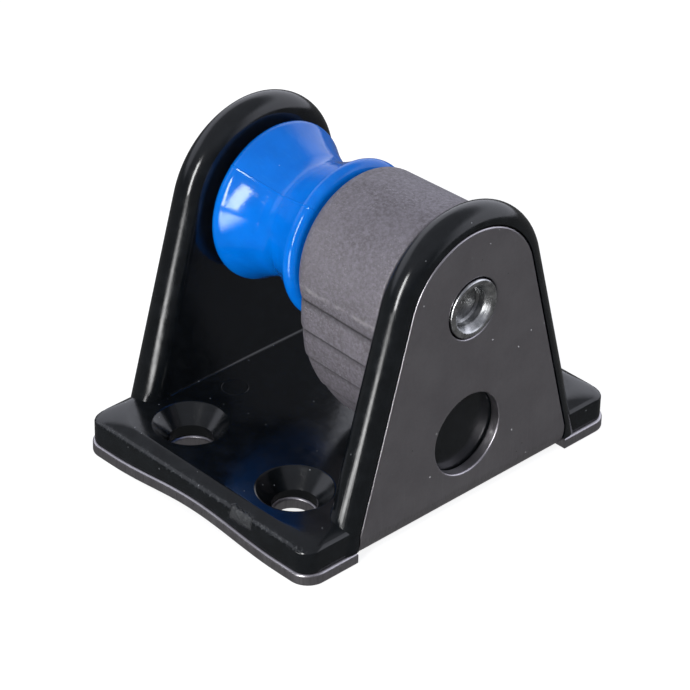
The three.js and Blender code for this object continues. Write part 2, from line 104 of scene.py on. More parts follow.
# Liner
PAD_HALF_X = 25.35
PAD_HALF_Y = LINER_HIGH.y - 0.32
PAD_TOP_Z = 7.0
PAD_CREST_Z = 5.9
PAD_CREST_WIDTH = 0.42
PAD_ROLL_OFF = 2.5
PAD_ROLL_OFF_POWER = 1.6
PAD_CORNER = 2.6
PAD_FLAT_CORNER = 7.0
CHEEK_INNER_X = 20.1
RIM_RADIUS = 2.9
RIM_X = 23.0
RIM_OFFSET = 0.2
CHEEK_FILLET = 0.5
COUNTERSINK_RADIUS = 6.15
COUNTERSINK_DEPTH = 2.9
COUNTERSINK_EDGE = 0.22
LINER_BORE_RADIUS = 3.65
LINER_GAP = 0.1
RIM_GAP = 0.3
EJECTOR_X = -15.0
EJECTOR_Y = -11.2
EJECTOR_RADIUS = 2.2
GATE_X = 10.6
GATE_LENGTH = 4.6

# Axle
AXLE_RADIUS = 4.9
AXLE_CUP_RADIUS = 4.05
AXLE_CUP_DEPTH = 1.1
AXLE_DRILL_RADIUS = 3.2
AXLE_DRILL_DEPTH = 2.6
AXLE_EDGE = 0.35
AXLE_CUP_EDGE = 0.25

# Guide roller
ROLLER_RADIUS = ROLLER_HIGH.z - AXLE_Z
ROLLER_WAIST_RADIUS = 10.0
ROLLER_WAIST_ARC = 4.0
ROLLER_LIP_RADIUS = 1.4
FLANK_HOLLOW = 0.22
ROLLER_LIP_X = 8.0
ROLLER_BOSS_RADIUS = 8.0
ROLLER_BOSS_EDGE = 0.2
ROLLER_BORE_EDGE = 0.3
RUNNING_BORE_RADIUS = 5.0
PARTING_ANGLE = math.radians(134)
PARTING_HEIGHT = 0.09
PARTING_WIDTH = 0.12

# Cam
CAM_LEFT_X = CAM_LOW.x
CAM_RIGHT_X = CAM_HIGH.x
CAM_HUB_RADIUS = 13.6
CAM_FLARE = 0.45
CAM_RIGHT_EDGE = 0.5
CAM_HUB_ROUNDING = 2.4
LEAD_IN_ROUNDING = 5.5
LEAD_IN_TOP_Z = 22.0
LEAD_IN_BOTTOM_Z = 11.0
CAM_FRONT_Y = -13.2
CAM_NOSE_Y = 3.2
CAM_NOSE_Z = 7.6
CAM_NOSE_REACH = 11.0
CAM_HEEL_RADIUS = 2.2
CAM_HEEL_END = math.radians(9)
CAM_BACK_ANGLE = math.radians(-23)
TOOTH_PITCH = 5.55
TOOTH_STEP = 0.3
TOOTH_UNDERCUT = 0.06
TOOTH_EDGE = 0.16
GROOVE_DEPTH = 0.22
GROOVE_WIDTH = 0.42
SHADE_BEFORE = 0.16
SHADE_CORE = 0.45
SHADE_AFTER = 1.5
# point attribute with the share of painted shade in the cam's grooves
GROOVE_SHADE_SHARE = "groove"
FIRST_TOOTH_Z = 32.5
POCKET_RADIUS = 8.4
POCKET_DEPTH = 5.6
CAM_TRAVEL = math.radians(70)

# Cam spring's legs, which leave the coil at its two ends
COIL_RADIUS = 7.0
COIL_START = math.radians(100)
COIL_END = math.radians(180)
LEG_BEND = 1.3
LEG_ROOM = 0.95
LEG_SLOT_END_ROOM = 0.4
LEG_SLOT_MARGIN = math.radians(11)

SHARP_ANGLE = math.radians(32)


# ---------------------------------------------------------------- outlines

def arc(cx, cy, radius, start, end, steps):
    """Points of an arc as (u, v) pairs."""
    angles = np.linspace(start, end, steps + 1)
    return [(cx + radius * math.cos(a), cy + radius * math.sin(a)) for a in angles]


def smoothstep(value, low, high):
    t = min(max((value - low) / (high - low), 0.0), 1.0)
    return t * t * (3 - 2 * t)


def densified(points, step):
    """A closed outline with its long sides divided into steps."""
    result = []
    for a, b in zip(points, points[1:] + points[:1]):
        count = max(1, math.ceil(math.dist(a, b) / step))
        result += [(a[0] + (b[0] - a[0]) * i / count, a[1] + (b[1] - a[1]) * i / count) for i in range(count)]
    return result


def rounded_rectangle(half_x, half_y, corner, steps=14):
    quarter = math.pi / 2
    inner_x, inner_y = half_x - corner, half_y - corner
    points = []
    for i, (sx, sy) in enumerate([(1, 1), (-1, 1), (-1, -1), (1, -1)]):
        points += arc(sx * inner_x, sy * inner_y, corner, i * quarter, (i + 1) * quarter, steps)
    return points


def arch_height(x):
    """Height of the arched underside above the deck."""
    reach = min(abs(x) / ARCH_HALF_SPAN, 1.0)
    return ARCH_RISE * (1 + math.cos(math.pi * reach)) / 2


def arch_line(lift, steps=48):
    return [(x, arch_height(x) + lift) for x in np.linspace(-ARCH_HALF_SPAN, ARCH_HALF_SPAN, steps + 1)]


def ear_outline(offset, foot_z, foot_half_width=math.inf, steps=72):
    """Ear outline in (y, z), anticlockwise from the shoulder at +y, grown outwards by offset."""
    radius = EAR_TOP_RADIUS + offset
    slope = math.tan(EAR_FLANK_ANGLE)
    crown = arc(0, AXLE_Z, radius, EAR_FLANK_ANGLE, math.pi - EAR_FLANK_ANGLE, steps)
    shoulder_y, shoulder_z = crown[0]
    foot_y = shoulder_y + (shoulder_z - foot_z) * slope
    if foot_y <= foot_half_width:
        return crown + [(-foot_y, foot_z), (foot_y, foot_z)]
    corner_z = shoulder_z - (foot_half_width - shoulder_y) / slope
    left = [(-foot_half_width, corner_z), (-foot_half_width, foot_z)]
    return crown + left + [(foot_half_width, foot_z), (foot_half_width, corner_z)]


def screw_places():
    return [(sx * SCREW_X, sy * SCREW_Y) for sx in (-1, 1) for sy in (-1, 1)]


def leg_place(angle, turn):
    """Where a spring leg stands, as (y, height over the axle): on from the coil along its tangent."""
    y = COIL_RADIUS * math.cos(angle) + turn * LEG_BEND * math.sin(angle)
    return y, COIL_RADIUS * math.sin(angle) - turn * LEG_BEND * math.cos(angle)


# ---------------------------------------------------------------- meshes

def mesh_object(name, points, faces):
    """A mesh object from points in millimetres."""
    mesh = bpy.data.meshes.new(name)
    mesh.from_pydata([Vector(p) * MM for p in points], [], faces)
    mesh.validate()
    made = bpy.data.objects.new(name, mesh)
    bpy.context.scene.collection.objects.link(made)
    return made


def loft(name, rings):
    """Closed skin through rings of equal point counts, with a flat cap on each end."""
    count = len(rings[0])
    points = [p for ring in rings for p in ring]
    faces = []
    for r in range(len(rings) - 1):
        for i in range(count):
            a, b = r * count + i, r * count + (i + 1) % count
            faces.append((a, b, b + count, a + count))
    faces.append(tuple(reversed(range(count))))
    faces.append(tuple(range((len(rings) - 1) * count, len(rings) * count)))
    return mesh_object(name, points, faces)


def prism_x(name, outline, start, end):
    """Outline in (y, z), anticlockwise, extruded along X."""
    return loft(name, [[(x, y, z) for y, z in outline] for x in (start, end)])


def prism_y(name, outline, start, end):
    """Outline in (x, z), anticlockwise, extruded along Y."""
    return loft(name, [[(x, y, z) for x, z in outline] for y in (end, start)])


def turned_x(name, profile, angles):
    """Closed (radius, x) profile, all off the axis, turned about the axle line at the given angles."""
    rings = [[(x, r * math.cos(a), AXLE_Z + r * math.sin(a)) for r, x in profile] for a in angles]
    count = len(profile)
    faces = []
    for k in range(len(rings)):
        for i in range(count):
            a, b = k * count + i, k * count + (i + 1) % count
            step = count if k + 1 < len(rings) else -k * count
            faces.append((a, a + step, b + step, b))
    return mesh_object(name, [p for ring in rings for p in ring], faces)


def turned_z(name, profile, cx, cy, segments=96):
    """Stack of (radius, z) pairs from the bottom up, turned about an upright line, with flat caps."""
    rings = [[(x, y, z) for x, y in arc(cx, cy, r, 0, 2 * math.pi, segments)[:-1]] for r, z in profile]
    return loft(name, rings)


def rod_x(name, radius, start, end, y, z, segments=96):
    return prism_x(name, arc(y, z, radius, 0, 2 * math.pi, segments)[:-1], start, end)


def combine(target, others, operation):
    """Joins the others to the target or cuts them from it, and removes them."""
    for other in others:
        modifier = target.modifiers.new(operation, "BOOLEAN")
        modifier.operation = operation
        modifier.solver = "MANIFOLD"
        modifier.object = other
        bpy.context.view_layer.update()
        graph = bpy.context.evaluated_depsgraph_get()
        mesh = bpy.data.meshes.new_from_object(target.evaluated_get(graph))
        target.modifiers.clear()
        target.data = mesh
        bpy.data.objects.remove(other)
    return target


def smoothed(made):
    """Smooth shading that stays crisp at real edges and flat on flat faces."""
    mesh = made.data
    mesh.shade_smooth()
    mesh.set_sharp_from_angle(angle=SHARP_ANGLE)
    weighted = made.modifiers.new("weighted_normals", "WEIGHTED_NORMAL")
    weighted.keep_sharp = True
    weighted.weight = 100
    return made


def finished(made, node, body, material):
    """Gives a fine piece its finish, and lets it stand for its CAD node on that node's body."""
    made.data.materials.clear()
    made.data.materials.append(material)
    smoothed(made)
    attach(made, body)
    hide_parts(node)
    return made


# ---------------------------------------------------------------- steel bracket

BEND_START = EAR_FACE_X - BEND_RADIUS
BEND_END = BEND_START + BEND_RADIUS * math.pi / 2
SLIT_MIDDLE = EAR_FOOT_HALF_WIDTH + RELIEF_WIDTH / 2


def flat_place(z):
    """Distance from the middle, along the flat blank, of height z on an ear."""
    return BEND_END + z - BEND_RADIUS


def folded(s, y, t):
    """Folds a point of the flat blank: s across, y along, t through the sheet from its outer face."""
    side = math.copysign(1, s)
    across = abs(s)
    if across <= BEND_START or abs(y) > SLIT_MIDDLE:
        return side * across, y, arch_height(across) + t
    if across < BEND_END:
        turn = (across - BEND_START) / BEND_RADIUS
        reach = BEND_RADIUS - t
        return side * (BEND_START + reach * math.sin(turn)), y, BEND_RADIUS - reach * math.cos(turn)
    return side * (EAR_FACE_X - t), y, BEND_RADIUS + across - BEND_END


def blank_side():
    """Right-hand part of the blank's outline, from the front corner round the ear to the back corner."""
    relief = EAR_FOOT_HALF_WIDTH + RELIEF_WIDTH
    corner_x, corner_y = PLATE_HALF_X - PLATE_CORNER, PLATE_HALF_Y - PLATE_CORNER
    ear = [(flat_place(z), y) for y, z in ear_outline(0, BEND_RADIUS, EAR_FOOT_HALF_WIDTH)]
    foot_start = next(i for i, (s, y) in enumerate(ear) if y < 0 and s <= BEND_END + 1e-6)
    crown_and_left = ear[:foot_start]
    right_corner = ear[-1]
    front = arc(corner_x, -corner_y, PLATE_CORNER, -math.pi / 2, 0, 12)
    back = arc(corner_x, corner_y, PLATE_CORNER, 0, math.pi / 2, 12)
    front_slit = arc(BEND_START, -SLIT_MIDDLE, RELIEF_WIDTH / 2, -math.pi / 2, -3 * math.pi / 2, 6)
    back_slit = arc(BEND_START, SLIT_MIDDLE, RELIEF_WIDTH / 2, -math.pi / 2, -3 * math.pi / 2, 6)
    ear_part = crown_and_left[::-1] + [right_corner]
    return (front + [(PLATE_HALF_X, -relief)] + front_slit + ear_part
            + back_slit + [(PLATE_HALF_X, relief)] + back)


def blank_loops():
    """The outline anticlockwise, then each hole clockwise, so that steel lies to the left of every loop."""
    side = blank_side()
    outline = densified(side + [(-s, -y) for s, y in side], OUTLINE_STEP)
    holes = [(x, y, SCREW_CLEARANCE_RADIUS, 48) for x, y in screw_places()]
    for sign in (-1, 1):
        holes.append((sign * flat_place(AXLE_Z), 0, AXLE_HOLE_RADIUS, 72))
        holes.append((sign * flat_place(SIDE_HOLE_Z), 0, SIDE_HOLE_RADIUS, 96))
    return [outline] + [arc(x, y, r, 2 * math.pi, 0, n)[:-1] for x, y, r, n in holes]


def inset(loop, distance):
    """A loop moved to its left, into the steel."""
    points = np.array(loop)
    direction = np.roll(points, -1, axis=0) - points
    direction /= np.linalg.norm(direction, axis=1)[:, None]
    normal = np.stack([-direction[:, 1], direction[:, 0]], axis=1)
    bisector = normal + np.roll(normal, 1, axis=0)
    bisector /= np.maximum((bisector ** 2).sum(axis=1) / 2, 1.0)[:, None]
    return points + bisector * distance


def edge_steps():
    """(inset, depth) pairs round the sheet's edge, from the outer face to the inner face."""
    outer = [(DEBURRED_EDGE * (1 - math.sin(a)), DEBURRED_EDGE * (1 - math.cos(a)))
             for a in np.linspace(0, math.pi / 2, 4)]
    inner = [(ROLLED_EDGE * (1 - math.sin(a)), SHEET - ROLLED_EDGE * (1 - math.cos(a)))
             for a in np.linspace(math.pi / 2, 0, 7)]
    return [(DEBURRED_EDGE + EDGE_MARGIN, 0.0)] + outer + inner + [(ROLLED_EDGE + EDGE_MARGIN, SHEET)]


def inside(points, loops):
    """Which points lie on the steel, by counting crossings of all loops."""
    result = np.zeros(len(points), bool)
    for loop in loops:
        a = np.array(loop)
        b = np.roll(a, -1, axis=0)
        for (x0, y0), (x1, y1) in zip(a, b):
            if y0 == y1:
                continue
            crosses = (points[:, 1] >= min(y0, y1)) & (points[:, 1] < max(y0, y1))
            where = x0 + (points[:, 1] - y0) * (x1 - x0) / (y1 - y0)
            result ^= crosses & (points[:, 0] < where)
    return result


def face_grid(loops):
    """Inner points of a sheet face: close together across the bends and the arch."""
    bends = np.arange(BEND_START, BEND_END + 0.1, BEND_STEP)
    ears = np.arange(BEND_END + 1.5, flat_place(BRACKET_HIGH.z), EAR_STEP)
    middle = np.arange(-BEND_START + 1, BEND_START - 0.5, PLATE_STEP)
    columns = np.concatenate([-ears[::-1], -bends[::-1], middle, bends, ears])
    rows = np.arange(-PLATE_HALF_Y, PLATE_HALF_Y, ROW_STEP)
    grid = np.array([(s, y) for s in columns for y in rows])
    grid = grid[inside(grid, loops)]
    border = np.concatenate([np.array(loop) for loop in loops])
    nearest = np.array([np.min(np.hypot(*(border - p).T)) for p in grid])
    return grid[nearest > GRID_CLEARANCE]


def steel_bracket():
    loops = blank_loops()
    points, faces, rings = [], [], []
    for distance, depth in edge_steps():
        starts = []
        for loop in loops:
            starts.append(len(points))
            points += [folded(s, y, depth) for s, y in inset(loop, distance)]
        rings.append(starts)
    for lower, upper in zip(rings, rings[1:]):
        for k, loop in enumerate(loops):
            count = len(loop)
            for i in range(count):
                j = (i + 1) % count
                faces.append((lower[k] + i, lower[k] + j, upper[k] + j, upper[k] + i))
    ends = [(edge_steps()[0], rings[0], True), (edge_steps()[-1], rings[-1], False)]
    for (distance, depth), starts, flip in ends:
        add_sheet_face(points, faces, [inset(loop, distance) for loop in loops], starts, depth, flip)
    return mesh_object("steel_bracket_fine", points, faces)


def add_sheet_face(points, faces, loops, starts, depth, flip):
    """Fills the area between the loops, whose points are already there, with triangles."""
    border, ids, edges = [], [], []
    for loop, start in zip(loops, starts):
        first, count = len(border), len(loop)
        border += [Vector(p) for p in loop]
        ids += list(range(start, start + count))
        edges += [(first + i, first + (i + 1) % count) for i in range(count)]
    for s, y in face_grid(loops):
        border.append(Vector((s, y)))
        ids.append(len(points))
        points.append(folded(s, y, depth))
    places, _, triangles, sources, _, _ = delaunay_2d_cdt(border, edges, [], 0, 1e-5)
    origin = [ids[group[0]] for group in sources]
    middles = np.array([[tuple(places[v]) for v in triangle] for triangle in triangles]).mean(axis=1)
    for triangle, on_steel in zip(triangles, inside(middles, loops)):
        corners = [origin[v] for v in triangle]
        if on_steel:
            faces.append(tuple(reversed(corners)) if flip else tuple(corners))


# ---------------------------------------------------------------- liner

def pad():
    """Base pad: upright sides, a soft crest, a shallow roll-off and a flat top."""
    crest = [(0.0, -0.45), (0.05, -0.2), (0.16, 0.0), (0.3, 0.13)]
    levels = [(0.0, 0.0)] + [(distance, PAD_CREST_Z + rise) for distance, rise in crest]
    for t in np.linspace(0, 1, 25) ** 1.4:
        rise = 1 - (1 - t) ** PAD_ROLL_OFF_POWER
        if PAD_ROLL_OFF * t > PAD_CREST_WIDTH:
            levels.append((PAD_ROLL_OFF * t, PAD_CREST_Z + (PAD_TOP_Z - PAD_CREST_Z) * rise))
    rings = []
    for distance, z in levels:
        corner = PAD_CORNER + (PAD_FLAT_CORNER - PAD_CORNER) * (distance / PAD_ROLL_OFF)
        ring = rounded_rectangle(PAD_HALF_X - distance, PAD_HALF_Y - distance, corner)
        rings.append([(x, y, z) for x, y in ring])
    return loft("pad", rings)


def rim(x):
    """Rolled rim: a round bead along the ear's edge, down to the deck."""
    outline = ear_outline(RIM_OFFSET, 0)
    spine = [outline[-1]] + outline[:-1]
    bead = arc(0, 0, RIM_RADIUS, 0, 2 * math.pi, 48)[:-1]
    rings = []
    for i, (y, z) in enumerate(spine):
        y0, z0 = spine[max(i - 1, 0)]
        y1, z1 = spine[min(i + 1, len(spine) - 1)]
        length = math.hypot(y1 - y0, z1 - z0)
        out_y, out_z = (z1 - z0) / length, -(y1 - y0) / length
        rings.append([(x - u, y + v * out_y, z + v * out_z) for v, u in bead])
    return loft("rim", rings)


def cheek_fillet(side):
    """Small concave fillet between the pad's top and a cheek."""
    inner = CHEEK_INNER_X - CHEEK_FILLET
    hollow = arc(inner, PAD_TOP_Z + CHEEK_FILLET, CHEEK_FILLET, -math.pi / 2, 0, 10)
    outline = hollow + [(CHEEK_INNER_X + 0.5, PAD_TOP_Z + CHEEK_FILLET), (CHEEK_INNER_X + 0.5, PAD_TOP_Z - 1),
                        (inner, PAD_TOP_Z - 1)]
    if side < 0:
        outline = [(-x, z) for x, z in reversed(outline)]
    reach = EAR_FOOT_HALF_WIDTH - 2
    return prism_y("fillet", list(reversed(outline)), -reach, reach)


def bracket_space():
    """Solids that keep the bracket clear inside the liner."""
    wall_x = EAR_FACE_X - SHEET - LINER_GAP
    inner = BEND_RADIUS - SHEET - LINER_GAP
    far = EAR_FACE_X + 4
    quarter = math.pi / 2
    lift = SHEET + LINER_GAP
    below = [(-far, -3), (far, -3)]
    over_arch = arch_line(lift)[::-1]
    right_bend = arc(BEND_START, BEND_RADIUS, inner, 0, -quarter, 12)
    left_bend = arc(-BEND_START, BEND_RADIUS, inner, 3 * quarter, 2 * quarter, 12)
    bends = [(far, BEND_RADIUS)] + right_bend + over_arch + left_bend + [(-far, BEND_RADIUS)]
    under_plate = below + [(far, lift)] + over_arch + [(-far, lift)]
    ear = ear_outline(RIM_GAP, -1, EAR_FOOT_HALF_WIDTH + RIM_GAP)
    return [
        prism_y("under_bends", below + bends, -EAR_FOOT_HALF_WIDTH - RIM_GAP, EAR_FOOT_HALF_WIDTH + RIM_GAP),
        prism_y("under_plate", under_plate, -PLATE_HALF_Y - 1, PLATE_HALF_Y + 1),
        prism_x("right_ear_space", ear, wall_x, far),
        prism_x("left_ear_space", ear, -far, -wall_x),
    ]


def countersink(x, y):
    """Cutter for a screw place: bore, cone and a softly rounded rim."""
    seat = PAD_TOP_Z - COUNTERSINK_DEPTH
    edge = COUNTERSINK_EDGE
    profile = [
        (LINER_BORE_RADIUS, -1),
        (LINER_BORE_RADIUS, seat),
        (COUNTERSINK_RADIUS - 0.7 * edge, PAD_TOP_Z - 0.9 * edge),
        (COUNTERSINK_RADIUS - 0.1 * edge, PAD_TOP_Z - 0.35 * edge),
        (COUNTERSINK_RADIUS + 0.6 * edge, PAD_TOP_Z - 0.08 * edge),
        (COUNTERSINK_RADIUS + 1.4 * edge, PAD_TOP_Z + 0.01),
        (COUNTERSINK_RADIUS + 1.4 * edge, PAD_TOP_Z + 1),
    ]
    return turned_z("countersink", profile, x, y)


def liner():
    body = pad()
    outline = ear_outline(RIM_OFFSET, SHEET)
    added = []
    for side in (-1, 1):
        reach = sorted((side * CHEEK_INNER_X, side * (EAR_FACE_X - 1)))
        added.append(prism_x("cheek", outline, *reach))
    added += [rim(RIM_X), rim(-RIM_X), cheek_fillet(1), cheek_fillet(-1)]
    combine(body, added, "UNION")
    through = EAR_FACE_X + 2
    cutters = bracket_space() + [countersink(x, y) for x, y in screw_places()]
    cutters.append(rod_x("axle_bore", AXLE_HOLE_RADIUS, -through, through, 0, AXLE_Z))
    leg_y, leg_rise = leg_place(COIL_END, -1)
    cutters.append(rod_x("leg_socket", LEG_ROOM, CHEEK_INNER_X - 1, EAR_FACE_X, leg_y, AXLE_Z + leg_rise, 32))
    combine(body, cutters, "DIFFERENCE")
    body.name = "liner_fine"
    return body


# ---------------------------------------------------------------- axle

def axle():
    """Turned pin with cupped, rolled ends."""
    end = AXLE_HIGH.x
    lip = AXLE_RADIUS - AXLE_EDGE
    half = [
        (0.02, end - AXLE_DRILL_DEPTH),
        (AXLE_DRILL_RADIUS - 0.3, end - AXLE_DRILL_DEPTH),
        (AXLE_DRILL_RADIUS, end - AXLE_DRILL_DEPTH + 0.3),
        (AXLE_DRILL_RADIUS, end - AXLE_CUP_DEPTH - 0.1),
        (AXLE_DRILL_RADIUS + 0.1, end - AXLE_CUP_DEPTH + 0.05),
        (AXLE_CUP_RADIUS - AXLE_CUP_EDGE, end - AXLE_CUP_EDGE),
        (AXLE_CUP_RADIUS - 0.08, end - 0.07),
        (AXLE_CUP_RADIUS + 0.06, end),
        (lip - 0.1, end),
    ]
    half += [(r, x) for x, r in arc(end - AXLE_EDGE, lip, AXLE_EDGE, 0, math.pi / 2, 6)][1:]
    profile = [(r, -x) for r, x in half] + half[::-1]
    return turned_x("axle_fine", profile[::-1], np.linspace(0, 2 * math.pi, 120, endpoint=False))


# ---------------------------------------------------------------- guide roller

def groove_profile():
    """Half of the roller's groove as (distance from the middle, radius), waist first."""
    waist = ROLLER_WAIST_RADIUS + ROLLER_WAIST_ARC
    lip = ROLLER_RADIUS - ROLLER_LIP_RADIUS
    drop = waist - lip
    span = math.hypot(ROLLER_LIP_X, drop)
    lean = math.asin((ROLLER_WAIST_ARC + ROLLER_LIP_RADIUS) / span) - math.atan2(drop, ROLLER_LIP_X)
    down = -math.pi / 2
    hollow = arc(0, waist, ROLLER_WAIST_ARC, down, down + lean, 10)
    crown = arc(ROLLER_LIP_X, lip, ROLLER_LIP_RADIUS, math.pi / 2 + lean, 0, 18)
    (x0, r0), (x1, r1) = hollow[-1], crown[0]
    flank = []
    for t in np.linspace(0, 1, 13)[1:-1]:
        dip = 4 * t * (1 - t) * FLANK_HOLLOW
        flank.append((x0 + (x1 - x0) * t + dip * math.sin(lean), r0 + (r1 - r0) * t - dip * math.cos(lean)))
    return hollow + flank + crown


def roller_angles():
    """Even steps round the roller, with extra ones across the two parting lines."""
    even = np.linspace(0, 2 * math.pi, 144, endpoint=False)
    near = np.linspace(-3, 3, 13) * PARTING_WIDTH / ROLLER_RADIUS
    extra = np.concatenate([PARTING_ANGLE + near, PARTING_ANGLE + math.pi + near])
    return np.unique(np.round(np.concatenate([even, np.mod(extra, 2 * math.pi)]), 6))


def guide_roller():
    half = groove_profile()
    outer = [(r, ROLLER_X - d) for d, r in half][::-1] + [(r, ROLLER_X + d) for d, r in half[1:]]
    left = ROLLER_X - ROLLER_LIP_X - ROLLER_LIP_RADIUS
    right = ROLLER_X + ROLLER_LIP_X + ROLLER_LIP_RADIUS
    boss = ROLLER_LOW.x
    profile = [
        (RUNNING_BORE_RADIUS, boss),
        (ROLLER_BOSS_RADIUS - ROLLER_BOSS_EDGE, boss),
        (ROLLER_BOSS_RADIUS, boss + ROLLER_BOSS_EDGE),
        (ROLLER_BOSS_RADIUS, left),
        *outer,
        (RUNNING_BORE_RADIUS + ROLLER_BORE_EDGE, right),
        (RUNNING_BORE_RADIUS, right - ROLLER_BORE_EDGE),
    ]
    made = turned_x("guide_roller_fine", profile, roller_angles())
    raise_parting_line(made)
    return made


def raise_parting_line(made):
    """The thin seam that the two mould halves leave along the roller."""
    for vertex in made.data.vertices:
        y, z = vertex.co.y / MM, vertex.co.z / MM - AXLE_Z
        radius = math.hypot(y, z)
        if radius < ROLLER_BOSS_RADIUS + 0.5:
            continue
        off = math.remainder(math.atan2(z, y) - PARTING_ANGLE, math.pi)
        height = PARTING_HEIGHT * math.exp(-((off * radius / PARTING_WIDTH) ** 2))
        vertex.co.y *= 1 + height / radius
        vertex.co.z = (AXLE_Z + z * (1 + height / radius)) * MM


# ---------------------------------------------------------------- cam

def grip_curve(t):
    """Point of the gripping face in (y, z), from the first tooth down to the nose."""
    drop = 0.55 * (FIRST_TOOTH_Z - CAM_NOSE_Z)
    p0 = np.array((CAM_FRONT_Y, FIRST_TOOTH_Z))
    p1 = np.array((CAM_FRONT_Y, FIRST_TOOTH_Z - drop))
    p2 = np.array((CAM_NOSE_Y - CAM_NOSE_REACH, CAM_NOSE_Z))
    p3 = np.array((CAM_NOSE_Y, CAM_NOSE_Z))
    s = 1 - t
    return s ** 3 * p0 + 3 * s * s * t * p1 + 3 * s * t * t * p2 + t ** 3 * p3


def along_grip():
    """Fine points of the gripping face with their distance along it."""
    points = np.array([grip_curve(t) for t in np.linspace(0, 1, 600)])
    steps = np.linalg.norm(np.diff(points, axis=0), axis=1)
    return np.concatenate([[0], np.cumsum(steps)]), points


def tooth(distance, points, start, end):
    """One tooth: a narrow groove, then a flank that rises to a proud, slightly rounded lower edge."""
    length = end - start
    edge = TOOTH_EDGE
    root = TOOTH_STEP + GROOVE_DEPTH
    stops = [(-TOOTH_UNDERCUT, root), (0.1 * GROOVE_WIDTH, root + 0.04), (0.5 * GROOVE_WIDTH, root - 0.03)]
    stops += [(0.85 * GROOVE_WIDTH, TOOTH_STEP + 0.03)]
    slope = np.linspace(GROOVE_WIDTH / length, (length - 2 * edge) / length, 14)
    stops += [(t * length, TOOTH_STEP * (1 - t)) for t in slope]
    stops += [(length - edge, 0.015), (length - 0.4 * edge, 0.05), (length - 0.05 * edge, 0.13)]
    result = []
    for along, depth in stops:
        where = min(max(start + along, 0), distance[-1])
        place = np.array([np.interp(where, distance, points[:, k]) for k in (0, 1)])
        ahead = np.array([np.interp(min(where + 0.05, distance[-1]), distance, points[:, k]) for k in (0, 1)])
        behind = np.array([np.interp(max(where - 0.05, 0), distance, points[:, k]) for k in (0, 1)])
        tangent = (ahead - behind) / np.linalg.norm(ahead - behind)
        result.append(place + np.array((-tangent[1], tangent[0])) * depth)
    return result


def cam_outline():
    """Outline of the cam in (y, z), anticlockwise from the first tooth."""
    distance, points = along_grip()
    grip = []
    count = round(distance[-1] / TOOTH_PITCH)
    for k in range(count):
        end = (k + 1) * TOOTH_PITCH if k + 1 < count else distance[-1]
        grip += tooth(distance, points, k * TOOTH_PITCH, end)
    heel = arc(CAM_NOSE_Y, CAM_NOSE_Z + CAM_HEEL_RADIUS, CAM_HEEL_RADIUS, -math.pi / 2, CAM_HEEL_END, 12)[1:]
    front = math.pi + math.atan2(AXLE_Z - FIRST_TOOTH_Z, -CAM_FRONT_Y)
    hub = arc(0, AXLE_Z, CAM_HUB_RADIUS, CAM_BACK_ANGLE, front, 110)
    return [tuple(p) for p in grip] + heel + hub


def cam_ring(outline, along):
    """One section of the cam: pulled in at the rounded left edge and spread by the flare."""
    length = CAM_RIGHT_X - CAM_LEFT_X
    over = max(0.0, along - (length - CAM_RIGHT_EDGE))
    right = CAM_RIGHT_EDGE - math.sqrt(max(CAM_RIGHT_EDGE ** 2 - over ** 2, 0))
    ring = []
    for y, z in outline:
        reach = math.hypot(y, z - AXLE_Z)
        high = smoothstep(z, LEAD_IN_BOTTOM_Z, LEAD_IN_TOP_Z)
        rounding = LEAD_IN_ROUNDING + (CAM_HUB_ROUNDING - LEAD_IN_ROUNDING) * high
        short = max(rounding - along, 0)
        pulled = rounding - math.sqrt(rounding ** 2 - short ** 2)
        scale = (reach - pulled - right + CAM_FLARE * along / length) / reach
        ring.append((CAM_LEFT_X + along, y * scale, AXLE_Z + (z - AXLE_Z) * scale))
    return ring


def cam():
    outline = cam_outline()
    length = CAM_RIGHT_X - CAM_LEFT_X
    rounded = [LEAD_IN_ROUNDING * (1 - math.cos(a)) for a in np.linspace(0, math.pi / 2, 22)]
    body = list(np.linspace(LEAD_IN_ROUNDING, length - CAM_RIGHT_EDGE, 9))[1:]
    edge = [length - CAM_RIGHT_EDGE * (1 - math.sin(a)) for a in np.linspace(0, math.pi / 2, 6)][1:]
    made = loft("cam_fine", [cam_ring(outline, along) for along in rounded + body + edge])
    cutters = [
        rod_x("bore", RUNNING_BORE_RADIUS, CAM_LEFT_X - 1, CAM_RIGHT_X + 1, 0, AXLE_Z),
        rod_x("pocket", POCKET_RADIUS, CAM_RIGHT_X - POCKET_DEPTH, CAM_RIGHT_X + 1, 0, AXLE_Z),
        leg_slot(),
    ]
    combine(made, cutters, "DIFFERENCE")
    mark_groove_shade(made)
    return made


def leg_slot():
    """Curved slot in the pocket's floor that lets the cam swing past the leg of the spring."""
    y, rise = leg_place(COIL_START, 1)
    radius = math.hypot(y, rise)
    at = math.atan2(rise, y)
    start, end = at - CAM_TRAVEL - LEG_SLOT_MARGIN, at + LEG_SLOT_MARGIN
    outer = arc(0, AXLE_Z, radius + LEG_ROOM, start, end, 48)
    inner = arc(0, AXLE_Z, radius - LEG_ROOM, end, start, 48)
    bottom = CAM_RIGHT_X - POCKET_DEPTH
    return prism_x("leg_slot", outer + inner, SPRING_LOW.x - LEG_SLOT_END_ROOM, bottom + LEG_SLOT_END_ROOM)


